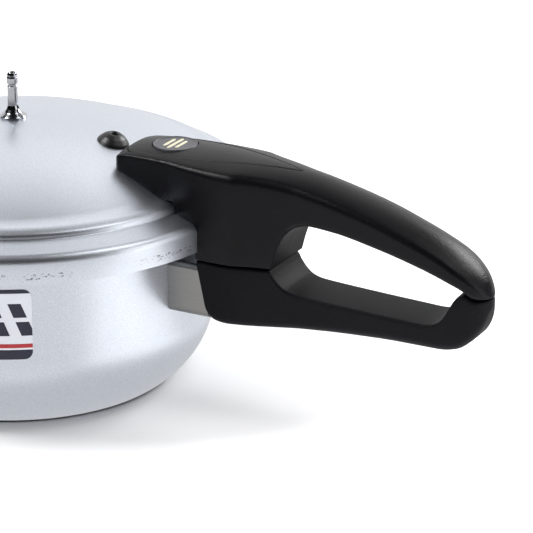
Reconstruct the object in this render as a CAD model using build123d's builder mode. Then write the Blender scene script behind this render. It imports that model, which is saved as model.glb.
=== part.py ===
from build123d import *
from math import radians, tan
import os

# Stovetop pressure cooker: a shallow aluminium pan with an outside bayonet lid.
# Frame: origin at the centre of the pan's base, +Z up, +X along the handles.

# ---- driving dimensions, millimetres ----
wall = 3.0                      # sheet thickness of the pan and the lid
pan_radius = 109.2              # outside of the pan's wall
base_radius = 84.5              # flat ring that stands on the hob
base_corner = 3.0               # tight corner between base and bowl
bowl_radius = 50.0              # large rounded corner of the bowl
bowl_top = 42.6                 # where the rounded corner meets the straight wall
bowl_foot = (86.2, 0.55)        # where the bowl arc meets the base corner

skirt_bottom = 94.5             # height of the lid's lower edge when locked
skirt_radius = 130.0            # outside of the lid's skirt
lid_shoulder = skirt_bottom + 14.7
riser_foot = (115.6, skirt_bottom + 19.2)
riser_head = (115.0, skirt_bottom + 22.6)
dome_edge = (109.4, skirt_bottom + 24.6)
dome_top = skirt_bottom + 48.9

rim_radius = 119.0              # pan flange between its lugs
lug_radius = 125.2              # pan flange at its lugs
rim_top = skirt_bottom + 9.0
lug_count = 6
lug_angle = 27.0                # width of each bayonet lug
lid_lug_inner = 120.6
lid_lug_bottom = skirt_bottom + 0.6
lid_lug_thick = 3.2

tube_radius = 2.9               # steam vent
collar_radius = 3.1             # collar near the vent's tip, which a weight slips over
vent_foot = 7.2                 # flared foot on the dome
vent_rise = 25.3                # above the top of the dome
vent_bore = 1.2
vent_hole = 4.0                 # hole through the lid for the vent's threaded shank
seal_radius = 9.0
shield_radius = 13.0            # perforated shield that keeps food out of the vent
plug_place = (59.2, 6.5)        # safety plug, near the handle's nose
plug_radius = 8.7
plug_hole = 5.0
plug_neck = 4.95                # the plug's groove, which the lid's sheet sits in

root_bottom = skirt_bottom - 4.2   # underside of the upper handle's root
badge_x = 101.5
badge_radius = 12.5
emblem_bar = 1.9                # three plain bars on the badge
emblem_pitch = 3.6
stud_top = 132.0
rear_screw_x = 141.5
lower_screw_x = 152.0
screw_radius = 2.5              # M5 handle screws
fit_gap = 0.15                  # moulding clearance between fixed pieces
label_arc = 72.8                # degrees of the wall the label covers
label_height = 39.0
bracket_half = 20.0             # pressed bracket on the pan's wall
bracket_low = skirt_bottom - 38.0
bracket_high = skirt_bottom - 9.0
bracket_sheet = 1.5
tongue_z = 69.0                 # underside of the tongue inside the bracket
tongue_sheet = 3.0
tongue_end = 164.0
bracket_rivet_y = 12.0
bracket_rivet_dz = 6.0
bracket_rivet_radius = 2.4
stud_radius = 7.0
stud_shank = 3.0
rivet_radius = 2.0
rivet_head = 3.4
angle_rivet_z = skirt_bottom + 9.6
angle_spread = 2.6              # degrees each side of the handle's centre line
angle_sheet = 2.0
angle_tab_z = skirt_bottom + 4.0
screw_head = 4.5
screw_clearance = 0.3           # round a screw's shank
head_pocket = 5.2               # counterbore for a screw's head and washer
washer_sheet = 0.9
standing = (Align.CENTER, Align.CENTER, Align.MIN)
hanging = (Align.CENTER, Align.CENTER, Align.MAX)


def above_skirt(points):
    """Lift (x, height above the skirt's lower edge) points into the part's frame."""
    return [(x, skirt_bottom + z) for x, z in points]


def mirrored(points):
    """The other half of a plan outline, run back from its last point."""
    return [(x, -y) for x, y in reversed(points)]


# ---- outlines that several pieces share ----
crown_line = above_skirt([
    (71.0, 43.5), (77.0, 47.2), (101.5, 49.7), (128.0, 49.7), (152.0, 48.6), (180.0, 45.2),
    (210.0, 38.4), (240.0, 28.9), (262.0, 19.2), (278.0, 8.4), (287.0, -3.9),
])
grip_underside = above_skirt([
    (274.6, 0.9), (253.0, 9.1), (225.0, 16.4), (203.0, 20.6), (187.0, 21.7), (177.0, 17.0),
    (171.3, 6.6), (168.0, -4.2),
])
upper_half_plan = [
    (71.0, 0.0), (72.6, 11.5), (78.0, 18.0), (92.0, 19.9), (108.0, 21.6), (126.0, 24.2),
    (141.0, 24.4), (151.0, 22.9), (166.0, 18.9), (182.0, 16.9), (215.0, 16.2), (255.0, 15.6),
    (273.0, 13.2), (283.5, 7.5), (287.0, 0.0),
]
lower_grip_plan = [
    (141.0, 22.6), (151.0, 21.4), (167.0, 17.6), (182.0, 16.0), (215.0, 15.6), (255.0, 15.4),
    (273.0, 13.2), (283.5, 7.5), (287.0, 0.0),
]
leaf_half_plan = [
    (76.5, 0.0), (80.0, 12.0), (96.0, 16.6), (118.0, 15.8), (140.0, 11.6), (163.0, 5.2), (177.0, 0.0),
]
leaf_depth = 2.4

lower_end = above_skirt([(125.2, -5.6), (131.5, -34.5)])         # slanted end that meets the bracket
lower_bottom = above_skirt([
    (139.0, -38.9), (157.0, -38.7), (184.0, -36.6), (214.0, -34.2), (242.0, -32.7), (262.0, -32.4),
    (275.0, -29.6), (283.0, -22.0), (287.0, -5.2),
])
lower_topline = above_skirt([
    (280.0, -5.2), (274.4, -1.0), (270.0, -5.3), (264.6, -15.3), (254.0, -20.2), (228.0, -19.4),
    (190.0, -17.7), (174.4, -15.0), (166.0, -5.6),
])
lower_lean = (lower_end[1][0] - lower_end[0][0]) / (lower_end[1][1] - lower_end[0][1])


def lower_end_x(height):
    """Where the slanted end of the lower handle stands at a height."""
    return lower_end[0][0] + lower_lean * (height - lower_end[0][1])


bracket_mid = (bracket_low + bracket_high) / 2
bracket_rivet_places = [
    (side * bracket_rivet_y, bracket_mid + up * bracket_rivet_dz) for side in (-1, 1) for up in (-1, 1)
]

# ---- pan ----
with BuildPart() as pan_body:
    with BuildSketch(Plane.XZ):
        with BuildLine():
            rim_under = rim_top - wall
            inner_radius = pan_radius - wall
            inner_foot = (base_radius - 0.5, wall)
            Line((0, 0), (base_radius, 0))
            RadiusArc((base_radius, 0), bowl_foot, -base_corner)
            RadiusArc(bowl_foot, (pan_radius, bowl_top), -bowl_radius)
            Polyline(
                (pan_radius, bowl_top), (pan_radius, rim_under), (rim_radius, rim_under),
                (rim_radius, rim_top), (inner_radius, rim_top), (inner_radius, bowl_top),
            )
            RadiusArc((inner_radius, bowl_top), inner_foot, bowl_radius - wall)
            Polyline(inner_foot, (0, wall), (0, 0))
        make_face()
    revolve(axis=Axis.Z)
    rim_edges = pan_body.edges().filter_by_position(Axis.Z, rim_top - 0.1, rim_top + 0.1)
    fillet(rim_edges.filter_by(GeomType.CIRCLE).sort_by(SortBy.RADIUS)[0], radius=2.4)
    with BuildSketch(Plane.XY.offset(rim_under)):
        with PolarLocations(0, lug_count):
            reach = lug_radius * 1.2
            half_width = reach * tan(radians(lug_angle / 2))
            Polygon((0, 0), (reach, -half_width), (reach, half_width), align=None)
        Circle(lug_radius, mode=Mode.INTERSECT)
        Circle(rim_radius - 2, mode=Mode.SUBTRACT)
    extrude(amount=wall)
    with BuildSketch(Plane.YZ.offset(pan_radius - 20)):
        with Locations(*bracket_rivet_places):
            Circle(bracket_rivet_radius)
    extrude(amount=30, mode=Mode.SUBTRACT)                       # rivet holes in the wall

with BuildPart() as pan_label:
    with BuildSketch(Plane.XZ):
        with Locations((pan_radius + 0.12, bowl_top + 2.9 + label_height / 2)):
            Rectangle(0.24, label_height)
    revolve(axis=Axis.Z, revolution_arc=label_arc)
    label_ends = pan_label.edges().filter_by(Axis.Z, reverse=True).filter_by(GeomType.LINE)
    fillet(label_ends, radius=4.5)
pan_label.part.locate(Location((0, 0, 0), (0, 0, -90 - label_arc / 2)))


# ---- lid ----
def lid_outline(drop):
    """Outer face of the lid from skirt to axis, moved inwards by drop."""
    slope = (lid_shoulder - riser_foot[1]) / (skirt_radius - riser_foot[0])
    foot = (riser_foot[0] - drop, riser_foot[1] - drop * 0.73)
    corner = (skirt_radius - drop, foot[1] + slope * (skirt_radius - riser_foot[0]))
    head = (riser_head[0] - drop, riser_head[1] - drop)
    edge = (dome_edge[0] - drop * 0.45, dome_edge[1] - drop * 0.9)
    Polyline((skirt_radius - drop, skirt_bottom), corner, foot, head, edge)
    rise = dome_top - drop - edge[1]
    RadiusArc(edge, (0, dome_top - drop), -(edge[0] ** 2 + rise ** 2) / (2 * rise))


dome_rise = dome_top - dome_edge[1]
dome_radius = (dome_edge[0] ** 2 + dome_rise ** 2) / (2 * dome_rise)
dome_centre = Vector(0, 0, dome_top - dome_radius)
plug_lift = (dome_radius ** 2 - plug_place[0] ** 2 - plug_place[1] ** 2) ** 0.5
plug_normal = Vector(*plug_place, plug_lift).normalized()
plug_plane = Plane(origin=dome_centre + plug_normal * dome_radius, z_dir=plug_normal)
angle_rivet_places = [
    Location(Plane(origin=Vector(skirt_radius, 0, angle_rivet_z).rotate(Axis.Z, turn),
                   z_dir=Vector(1, 0, 0).rotate(Axis.Z, turn)))
    for turn in (-angle_spread, angle_spread)
]

with BuildPart() as lid_shell:
    with BuildSketch(Plane.XZ):
        with BuildLine():
            lid_outline(0)
            lid_outline(wall)
            Line((skirt_radius, skirt_bottom), (skirt_radius - wall, skirt_bottom))
            Line((0, dome_top), (0, dome_top - wall))
        make_face()
    revolve(axis=Axis.Z)
    for radius, height, size in ((skirt_radius, lid_shoulder, 3.5), (riser_head[0], riser_head[1], 2.4),
                                 (riser_foot[0], riser_foot[1], 0.8)):
        ring = lid_shell.edges().filter_by_position(Axis.Z, height - 0.01, height + 0.01)
        fillet(ring.filter_by(lambda edge: abs(edge.radius - radius) < 0.01), radius=size)
    with BuildSketch(Plane.XY.offset(lid_lug_bottom)):
        with PolarLocations(0, lug_count):
            reach = skirt_radius * 1.2
            half_width = reach * tan(radians(lug_angle / 2))
            Polygon((0, 0), (reach, -half_width), (reach, half_width), align=None)
        Circle(skirt_radius - wall + 0.5, mode=Mode.INTERSECT)
        Circle(lid_lug_inner, mode=Mode.SUBTRACT)
    extrude(amount=lid_lug_thick)                                # inward bayonet lugs
    Cylinder(vent_hole, 2 * dome_top, mode=Mode.SUBTRACT)
    with Locations((badge_x, 0, dome_edge[1])):
        Cylinder(stud_shank, 40, mode=Mode.SUBTRACT)
    with Locations(plug_plane):
        Cylinder(plug_hole, 20, mode=Mode.SUBTRACT)
    with Locations(*angle_rivet_places):
        Cylinder(rivet_radius, 12, mode=Mode.SUBTRACT)


with BuildPart() as gasket:
    gasket_bottom = rim_top + 0.3
    with BuildSketch(Plane.XZ):
        with BuildLine():
            Polyline(
                (112.8, gasket_bottom + 1.0), (112.8, gasket_bottom + 7.2), (114.4, gasket_bottom + 6.8),
                (124.6, gasket_bottom + 3.6), (124.6, gasket_bottom), (121.6, gasket_bottom),
                (120.0, gasket_bottom + 2.0), (116.4, gasket_bottom), (113.6, gasket_bottom), close=True,
            )
        make_face()
    revolve(axis=Axis.Z)

# ---- steam vent: tube, seal, nut and the perforated shield below it ----
with BuildPart() as vent_tube:
    vent_top = dome_top + vent_rise
    inside = dome_top - wall
    with BuildSketch(Plane.XZ):
        with BuildLine():
            Polyline(
                (0, inside - 7.0), (vent_hole - 0.1, inside - 7.0), (vent_hole - 0.1, dome_top),
                (vent_foot, dome_top), (vent_foot, dome_top + 0.4), (vent_foot - 0.6, dome_top + 1.2),
                (4.4, dome_top + 3.6),
                (tube_radius, dome_top + 5.2), (tube_radius, vent_top - 7.4),
                (tube_radius - 0.5, vent_top - 6.9), (tube_radius - 0.5, vent_top - 6.4),
                (collar_radius, vent_top - 6.0), (collar_radius, vent_top - 2.6),
                (tube_radius - 0.1, vent_top - 0.5), (tube_radius - 0.5, vent_top), (0, vent_top),
                close=True,
            )
        make_face()
    revolve(axis=Axis.Z)
    with Locations((0, 0, vent_top)):
        Cylinder(vent_bore, 100, mode=Mode.SUBTRACT)
        Cone(vent_bore, vent_bore + 0.8, 1.6, align=hanging, mode=Mode.SUBTRACT)

with BuildPart() as vent_seal:
    with BuildSketch(Plane.XY.offset(inside - 1.8)):
        Circle(seal_radius)
        Circle(vent_hole, mode=Mode.SUBTRACT)
    extrude(amount=1.6)

with BuildPart() as vent_nut:
    with BuildSketch(Plane.XY.offset(inside - 5.4)):
        RegularPolygon(7.5, 6)
        Circle(vent_hole, mode=Mode.SUBTRACT)
    extrude(amount=3.5)
    chamfer(vent_nut.faces().sort_by(Axis.Z)[0].edges().filter_by(GeomType.LINE), length=0.5)

with BuildPart() as vent_shield:
    shield_top = inside - 5.5
    with BuildSketch(Plane.XZ):
        with BuildLine():
            Polyline(
                (vent_hole, shield_top), (shield_radius - 2.0, shield_top),
                (shield_radius, shield_top - 2.0), (shield_radius, shield_top - 9.0),
                (shield_radius - 0.8, shield_top - 9.0), (shield_radius - 0.8, shield_top - 2.3),
                (shield_radius - 2.3, shield_top - 0.8), (vent_hole, shield_top - 0.8),
                close=True,
            )
        make_face()
    revolve(axis=Axis.Z)
    with Locations((0, 0, shield_top - 5.6)):
        with PolarLocations(shield_radius - 0.4, 12):
            with Locations(Location((0, 0, 0), (0, 90, 0))):
                Cylinder(1.2, 4, mode=Mode.SUBTRACT)

# ---- rubber safety plug, gripping the lid by its groove ----
with BuildPart() as safety_plug:
    with BuildSketch(Plane.XZ):
        with BuildLine():
            crown = ThreePointArc((plug_radius, 0.25), (plug_radius * 0.72, 3.9), (3.2, 5.3))
            Polyline(
                crown @ 1, (2.2, 4.2), (0, 4.0), (0, -7.6), (5.6, -7.6), (6.9, -4.6), (6.9, -3.4),
                (plug_neck, -3.4), (plug_neck, 0.25), crown @ 0,
            )
        make_face()
    revolve(axis=Axis.Z)
safety_plug.part.locate(plug_plane.location)


# ---- lid fittings that hold the upper handle ----
def lid_clearance(gap):
    """Solid of everything at and below the lid's outer face, with a gap added."""
    with BuildPart(mode=Mode.PRIVATE) as envelope:
        with BuildSketch(Plane.XZ):
            with BuildLine():
                lid_outline(-gap)
                Polyline(
                    (skirt_radius + gap, skirt_bottom), (skirt_radius + gap, 40), (0, 40),
                    (0, dome_top + gap),
                )
            make_face()
        revolve(axis=Axis.Z)
    return envelope.part


with BuildPart() as lid_stud:
    with Locations((badge_x, 0, dome_edge[1] - 3)):
        Cylinder(stud_radius, stud_top - dome_edge[1] + 3, align=standing)
    add(lid_clearance(0.02), mode=Mode.SUBTRACT)
    with Locations((badge_x, 0, stud_top - 6)):
        Cylinder(stud_shank - 0.02, 15.4, align=hanging)
    with Locations((badge_x, 0, stud_top)):
        Hole(screw_radius, depth=9)

with BuildPart() as lid_angle:
    with BuildSketch(Plane.XY.offset(angle_tab_z)):
        with Locations((skirt_radius + 10, 0)):
            Rectangle(26, 20)
        Circle(skirt_radius + 0.05, mode=Mode.SUBTRACT)
    extrude(amount=angle_sheet)
    with BuildSketch(Plane.XY.offset(angle_tab_z)):
        with Locations((skirt_radius + 2, 0)):
            Rectangle(14, 20)
        Circle(skirt_radius + angle_sheet, mode=Mode.INTERSECT)
        Circle(skirt_radius + 0.05, mode=Mode.SUBTRACT)
    extrude(amount=9)
    with Locations(*angle_rivet_places):
        Cylinder(rivet_radius, 12, mode=Mode.SUBTRACT)
    with Locations((rear_screw_x, 0, angle_tab_z + angle_sheet)):
        Hole(screw_radius, depth=angle_sheet)

with BuildPart() as angle_rivets:
    with Locations(*angle_rivet_places):
        with Locations((0, 0, -wall + 0.1)):
            Cylinder(rivet_radius - 0.02, wall + angle_sheet + 0.6, align=standing)
        with Locations((0, 0, angle_sheet + 0.05)):
            Cylinder(rivet_head, 1.2, align=standing)


def plan_solid(outline, low, high):
    """Upright solid over a plan outline that mirrors about the handle's centre line."""
    with BuildPart(mode=Mode.PRIVATE) as upright:
        with BuildSketch(Plane.XY.offset(low)):
            with BuildLine():
                Spline(*outline)
                Spline(*mirrored(outline))
            make_face()
        extrude(amount=high - low)
    return upright.part


# ---- upper handle ----
with BuildPart() as leaf_band:
    with BuildSketch(Plane.XZ):
        with BuildLine():
            leaf_top = Spline(*crown_line)
            leaf_low = Spline(*[(x, z - leaf_depth) for x, z in crown_line])
            Line(leaf_top @ 0, leaf_low @ 0)
            Line(leaf_top @ 1, leaf_low @ 1)
        make_face()
    extrude(amount=30, both=True)
    add(plan_solid(leaf_half_plan, skirt_bottom, dome_top + 20), mode=Mode.INTERSECT)

with BuildPart() as upper_handle:
    with BuildSketch(Plane.XZ):
        with BuildLine():
            Spline(*crown_line)
            Polyline(crown_line[-1], (280.5, crown_line[-1][1]), grip_underside[0])
            Spline(*grip_underside)
            Polyline(grip_underside[-1], (crown_line[0][0], root_bottom), crown_line[0])
        make_face()
    extrude(amount=30, both=True)
    add(plan_solid(upper_half_plan, skirt_bottom - 20, dome_top + 20), mode=Mode.INTERSECT)
    fillet(upper_handle.faces().sort_by(Axis.Z)[-1].edges(), radius=4.5)
    add(lid_clearance(fit_gap), mode=Mode.SUBTRACT)
    add(leaf_band.part, mode=Mode.SUBTRACT)
    badge_floor = crown_line[2][1] - leaf_depth
    badge_seat = badge_floor - 5
    with Locations((badge_x, 0, badge_seat)):
        Cylinder(screw_radius + screw_clearance, 40, mode=Mode.SUBTRACT)
        Cylinder(6.2, 40, align=standing, mode=Mode.SUBTRACT)
    with Locations((badge_x, 0, badge_floor)):
        Cylinder(badge_radius + fit_gap, 20, align=standing, mode=Mode.SUBTRACT)
    with Locations((badge_x, 0, stud_top + fit_gap)):
        Cylinder(stud_radius + fit_gap, 40, align=hanging, mode=Mode.SUBTRACT)
    with Locations((skirt_radius, 0, angle_tab_z - fit_gap)):
        Box(48, 20.6, 9.6, align=standing, mode=Mode.SUBTRACT)
    with Locations((rear_screw_x, 0, root_bottom)):
        Cylinder(screw_radius + screw_clearance, 40, mode=Mode.SUBTRACT)
        Cylinder(head_pocket, 8, mode=Mode.SUBTRACT)

with BuildPart() as handle_cover:
    add(leaf_band.part)
    with Locations((badge_x, 0, badge_floor)):
        Cylinder(badge_radius + fit_gap, 20, mode=Mode.SUBTRACT)

with BuildPart() as handle_badge:
    with BuildSketch(Plane.XY.offset(badge_floor + 0.05)):
        with Locations((badge_x, 0)):
            Circle(badge_radius)
    extrude(amount=leaf_depth - 0.25)
    chamfer(handle_badge.faces().sort_by(Axis.Z)[-1].edges(), length=0.5)

with BuildPart() as badge_emblem:
    with BuildSketch(Plane.XY.offset(badge_floor + leaf_depth - 0.2)):
        with Locations((badge_x - emblem_pitch, 0), (badge_x + emblem_pitch, 0)):
            SlotOverall(12.0, emblem_bar, rotation=90)
        with Locations((badge_x, 0)):
            SlotOverall(17.0, emblem_bar, rotation=90)
    extrude(amount=0.2)


def machine_screw(head_seat, length, downward):
    """Pan-head handle screw on the Z axis, its head's seat at the given height."""
    side = -1 if downward else 1
    shank = screw_radius - 0.02
    with BuildPart(mode=Mode.PRIVATE) as screw:
        with BuildSketch(Plane.XZ):
            with BuildLine():
                Polyline(
                    (0, head_seat + side * length), (screw_radius - 0.4, head_seat + side * length),
                    (shank, head_seat + side * (length - 0.8)), (shank, head_seat),
                    (screw_head, head_seat), (screw_head, head_seat - side * 2.2),
                    (screw_head - 0.9, head_seat - side * 3.0), (0, head_seat - side * 3.0),
                    close=True,
                )
            make_face()
        revolve(axis=Axis.Z)
        with Locations((0, 0, head_seat - side * 2.5)):
            Box(5.0, 1.0, 1.4, mode=Mode.SUBTRACT)
            Box(1.0, 5.0, 1.4, mode=Mode.SUBTRACT)
    return screw.part


def spring_washer(x, low):
    """Flat steel washer round an M5 screw."""
    with BuildPart(mode=Mode.PRIVATE) as washer:
        with BuildSketch(Plane.XY.offset(low)):
            with Locations((x, 0)):
                Circle(5.0)
                Circle(screw_radius + 0.15, mode=Mode.SUBTRACT)
        extrude(amount=washer_sheet)
    return washer.part


badge_screw_seat = badge_seat + 0.95
rear_screw_seat = root_bottom + 4 - 0.95
with BuildPart() as badge_screw:
    add(machine_screw(badge_screw_seat, 12, True).moved(Location((badge_x, 0, 0))))
with BuildPart() as badge_washer:
    add(spring_washer(badge_x, badge_seat + 0.02))
with BuildPart() as rear_screw:
    add(machine_screw(rear_screw_seat, 10, False).moved(Location((rear_screw_x, 0, 0))))
with BuildPart() as rear_washer:
    add(spring_washer(rear_screw_x, root_bottom + 4 - 0.92))

# ---- bracket on the pan ----
bracket_start = 90.0
bracket_height = bracket_high - bracket_low
bracket_back = pan_radius + bracket_sheet
with BuildPart() as pan_bracket:
    with BuildSketch(Plane.YZ.offset(bracket_start)):
        with Locations((0, bracket_mid)):
            RectangleRounded(2 * bracket_half, bracket_height, 3.2)
    extrude(amount=60)
    with BuildSketch(Plane.YZ.offset(bracket_start)):
        with Locations((0, bracket_mid)):
            RectangleRounded(2 * (bracket_half - bracket_sheet), bracket_height - 2 * bracket_sheet, 1.7)
    extrude(amount=60, mode=Mode.SUBTRACT)
    with BuildSketch(Plane.YZ.offset(bracket_start)):
        with Locations((0, bracket_mid)):
            RectangleRounded(2 * bracket_half, bracket_height, 3.2)
    bracket_plate = extrude(amount=60, mode=Mode.PRIVATE)
    with BuildSketch(Plane.XY.offset(bracket_low)):
        Circle(bracket_back)
    add(bracket_plate & extrude(amount=bracket_height, mode=Mode.PRIVATE))
    with BuildSketch(Plane.XY.offset(bracket_low)):
        Circle(pan_radius + 0.05)
    extrude(amount=bracket_height, mode=Mode.SUBTRACT)
    with BuildSketch(Plane.XZ):
        Polygon(
            (lower_end_x(skirt_bottom) - fit_gap, skirt_bottom), (300, skirt_bottom), (300, 40),
            (lower_end_x(40) - fit_gap, 40), align=None,
        )
    extrude(amount=60, both=True, mode=Mode.SUBTRACT)
    with BuildSketch(Plane.YZ.offset(bracket_start)):
        with Locations(*bracket_rivet_places):
            Circle(bracket_rivet_radius)
    extrude(amount=30, mode=Mode.SUBTRACT)

with BuildPart() as bracket_rivets:
    with BuildSketch(Plane.YZ.offset(pan_radius - wall - 6)):
        with Locations(*bracket_rivet_places):
            Circle(4.4)
    extrude(amount=15)
    with BuildSketch(Plane.XY.offset(bracket_low)):
        Circle(bracket_back + 1.4)
    extrude(amount=bracket_height, mode=Mode.INTERSECT)
    with BuildSketch(Plane.XY.offset(bracket_low)):
        Circle(bracket_back + 0.02)
        Circle(pan_radius - wall - 0.02, mode=Mode.SUBTRACT)
    extrude(amount=bracket_height, mode=Mode.SUBTRACT)
    with BuildSketch(Plane.XY.offset(bracket_low)):
        Circle(pan_radius - wall - 1.5)
    extrude(amount=bracket_height, mode=Mode.SUBTRACT)
    with BuildSketch(Plane.YZ.offset(pan_radius - wall - 2.5)):
        with Locations(*bracket_rivet_places):
            Circle(bracket_rivet_radius - 0.02)
    extrude(amount=wall + bracket_sheet + 3.0)
    with BuildSketch(Plane.XY.offset(bracket_low)):
        Circle(pan_radius - wall - 1.5)
    extrude(amount=bracket_height, mode=Mode.SUBTRACT)

with BuildPart() as bracket_tongue:
    with BuildSketch(Plane.XY.offset(tongue_z)):
        with Locations((tongue_end - 35, 0)):
            Rectangle(70, 14)
        Circle(bracket_back + 0.05, mode=Mode.SUBTRACT)
        with Locations((lower_screw_x, 0)):
            Circle(screw_radius + screw_clearance, mode=Mode.SUBTRACT)
    extrude(amount=tongue_sheet)
    fillet(bracket_tongue.edges().filter_by(Axis.Z).sort_by(Axis.X)[-2:], radius=4)

# ---- lower handle ----
lower_seat = 61.8
nut_height = 4.0
with BuildPart() as lower_handle:
    with BuildSketch(Plane.XZ):
        with BuildLine():
            Spline(*lower_bottom)
            Line(lower_bottom[-1], lower_topline[0])
            Line(lower_topline[0], lower_topline[1])
            Spline(*lower_topline[1:])
            heel = lower_bottom[0][1] + 4
            Polyline(lower_topline[-1], lower_end[0], (lower_end_x(heel), heel), lower_bottom[0])
        make_face()
    extrude(amount=30, both=True)
    with BuildSketch(Plane.XY.offset(40)):
        with BuildLine():
            start = (lower_grip_plan[0][0] - 30, lower_grip_plan[0][1])
            Spline(*lower_grip_plan, tangents=[(1, 0), (0, -1)])
            Line(lower_grip_plan[0], start)
            Line(start, (start[0], -start[1]))
            Line((start[0], -start[1]), mirrored(lower_grip_plan)[-1])
            Spline(*mirrored(lower_grip_plan), tangents=[(0, -1), (-1, 0)])
        make_face()
    extrude(amount=60, mode=Mode.INTERSECT)
    grip_top = lower_handle.faces().filter_by_position(Axis.X, 190, 245).sort_by(Axis.Z)[-1]
    fillet(grip_top.edges(), radius=2.0)
    with Locations((tongue_end - 30, 0, tongue_z - fit_gap)):
        slot_height = tongue_sheet + 2 * fit_gap
        Box(60.6, 14.4, slot_height, align=standing, mode=Mode.SUBTRACT)
    with Locations((lower_screw_x, 0, tongue_z)):
        pocket_height = tongue_sheet + nut_height + 1.5
        Box(8.3, 8.3, pocket_height, align=standing, mode=Mode.SUBTRACT)
    with Locations((lower_screw_x, 0, tongue_z)):
        Cylinder(screw_radius + screw_clearance, 20, align=hanging, mode=Mode.SUBTRACT)
    with Locations((lower_screw_x, 0, lower_seat)):
        Cylinder(head_pocket, 20, align=hanging, mode=Mode.SUBTRACT)

with BuildPart() as lower_screw:
    add(machine_screw(lower_seat - 0.95, 15.2, False).moved(Location((lower_screw_x, 0, 0))))
with BuildPart() as lower_washer:
    add(spring_washer(lower_screw_x, lower_seat - 0.92))
with BuildPart() as lower_nut:
    with BuildSketch(Plane.XY.offset(tongue_z + tongue_sheet + 0.02)):
        with Locations((lower_screw_x, 0)):
            Rectangle(8, 8)
            Circle(screw_radius, mode=Mode.SUBTRACT)
    extrude(amount=nut_height)
    chamfer(lower_nut.edges().filter_by(Axis.Z).filter_by(GeomType.LINE), length=0.6)

os.makedirs("parts", exist_ok=True)
for name, piece in (
    ("pan_body", pan_body), ("pan_label", pan_label), ("pan_bracket", pan_bracket),
    ("bracket_rivets", bracket_rivets), ("bracket_tongue", bracket_tongue),
    ("lower_handle", lower_handle), ("lower_handle_screw", lower_screw),
    ("lower_handle_washer", lower_washer), ("lower_handle_nut", lower_nut),
    ("gasket", gasket), ("lid_shell", lid_shell), ("vent_tube", vent_tube),
    ("vent_seal", vent_seal), ("vent_nut", vent_nut), ("vent_shield", vent_shield),
    ("safety_plug", safety_plug), ("lid_stud", lid_stud), ("lid_angle", lid_angle),
    ("angle_rivets", angle_rivets), ("upper_handle", upper_handle),
    ("handle_cover", handle_cover), ("handle_badge", handle_badge),
    ("badge_emblem", badge_emblem), ("badge_screw", badge_screw),
    ("badge_washer", badge_washer), ("rear_screw", rear_screw), ("rear_washer", rear_washer),
):
    piece.part.label = name
    export_step(piece.part, f"parts/{name}.step")
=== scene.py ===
from math import asin, atan2, cos, pi, radians, sin, sqrt

import bmesh
import bpy
from mathutils import Matrix, Vector


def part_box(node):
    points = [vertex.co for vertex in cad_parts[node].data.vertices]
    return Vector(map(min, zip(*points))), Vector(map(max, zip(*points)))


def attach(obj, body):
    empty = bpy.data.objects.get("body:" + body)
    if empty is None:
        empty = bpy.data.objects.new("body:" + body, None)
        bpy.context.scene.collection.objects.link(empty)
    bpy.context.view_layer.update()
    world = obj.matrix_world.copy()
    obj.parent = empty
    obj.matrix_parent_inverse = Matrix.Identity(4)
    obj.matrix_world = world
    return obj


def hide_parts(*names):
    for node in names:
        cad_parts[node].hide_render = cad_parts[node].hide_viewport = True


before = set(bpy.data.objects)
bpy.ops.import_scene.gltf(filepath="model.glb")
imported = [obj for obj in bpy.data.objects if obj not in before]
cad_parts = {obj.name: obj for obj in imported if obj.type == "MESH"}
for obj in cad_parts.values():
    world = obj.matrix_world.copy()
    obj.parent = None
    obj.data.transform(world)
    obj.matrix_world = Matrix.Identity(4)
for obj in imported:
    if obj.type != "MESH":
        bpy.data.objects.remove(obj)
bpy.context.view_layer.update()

mm = 0.001

lidLow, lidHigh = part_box("lid_shell")
skirtBottom = lidLow[2]              # lower edge of the lid, the level most heights count from
skirtRadius = lidHigh[0]
domeTop = lidHigh[2]
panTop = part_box("pan_body")[1][2]


# curves and outlines
def smoothCurve(points):  # monotone cubic through (x, value) points
    xs = [p[0] for p in points]
    ys = [p[1] for p in points]
    gaps = [b - a for a, b in zip(xs, xs[1:])]
    slopes = [(b - a) / g for a, b, g in zip(ys, ys[1:], gaps)]
    ends = [slopes[0]]
    for i in range(1, len(xs) - 1):
        before, after = slopes[i - 1], slopes[i]
        if before * after <= 0:
            ends.append(0.0)
        else:
            near, far = 2 * gaps[i] + gaps[i - 1], gaps[i] + 2 * gaps[i - 1]
            ends.append((near + far) / (near / before + far / after))
    ends.append(slopes[-1])

    def value(x):
        x = min(max(x, xs[0]), xs[-1])
        i = max(0, min(len(gaps) - 1, sum(1 for q in xs[1:] if q < x)))
        t, g = (x - xs[i]) / gaps[i], gaps[i]
        return (ys[i] * (1 + 2 * t) * (1 - t) ** 2 + ends[i] * g * t * (1 - t) ** 2
                + ys[i + 1] * t * t * (3 - 2 * t) - ends[i + 1] * g * t * t * (1 - t))
    return value


def roundPath(corners, steps=7):  # (x, y, radius) corners, each radius laid in as an arc
    path = []
    for i, (x, y, radius) in enumerate(corners):
        here = Vector((x, y))
        if radius <= 0 or i in (0, len(corners) - 1):
            path.append(here)
            continue
        back = (Vector(corners[i - 1][:2]) - here).normalized()
        ahead = (Vector(corners[i + 1][:2]) - here).normalized()
        half = back.angle(ahead) / 2
        neighbours = (corners[i - 1], corners[i + 1])
        room = 0.48 * min((Vector(corner[:2]) - here).length for corner in neighbours)
        radius = min(radius, room * sin(half) / cos(half))
        if half > 1.55 or radius < 0.005:
            path.append(here)
            continue
        reach = radius * cos(half) / sin(half)
        middle = here + (back + ahead).normalized() * (radius / sin(half))
        start, stop = here + back * reach - middle, here + ahead * reach - middle
        turn = start.angle_signed(stop)
        path += [middle + Matrix.Rotation(-turn * k / steps, 2) @ start for k in range(steps + 1)]
    return path


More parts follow.
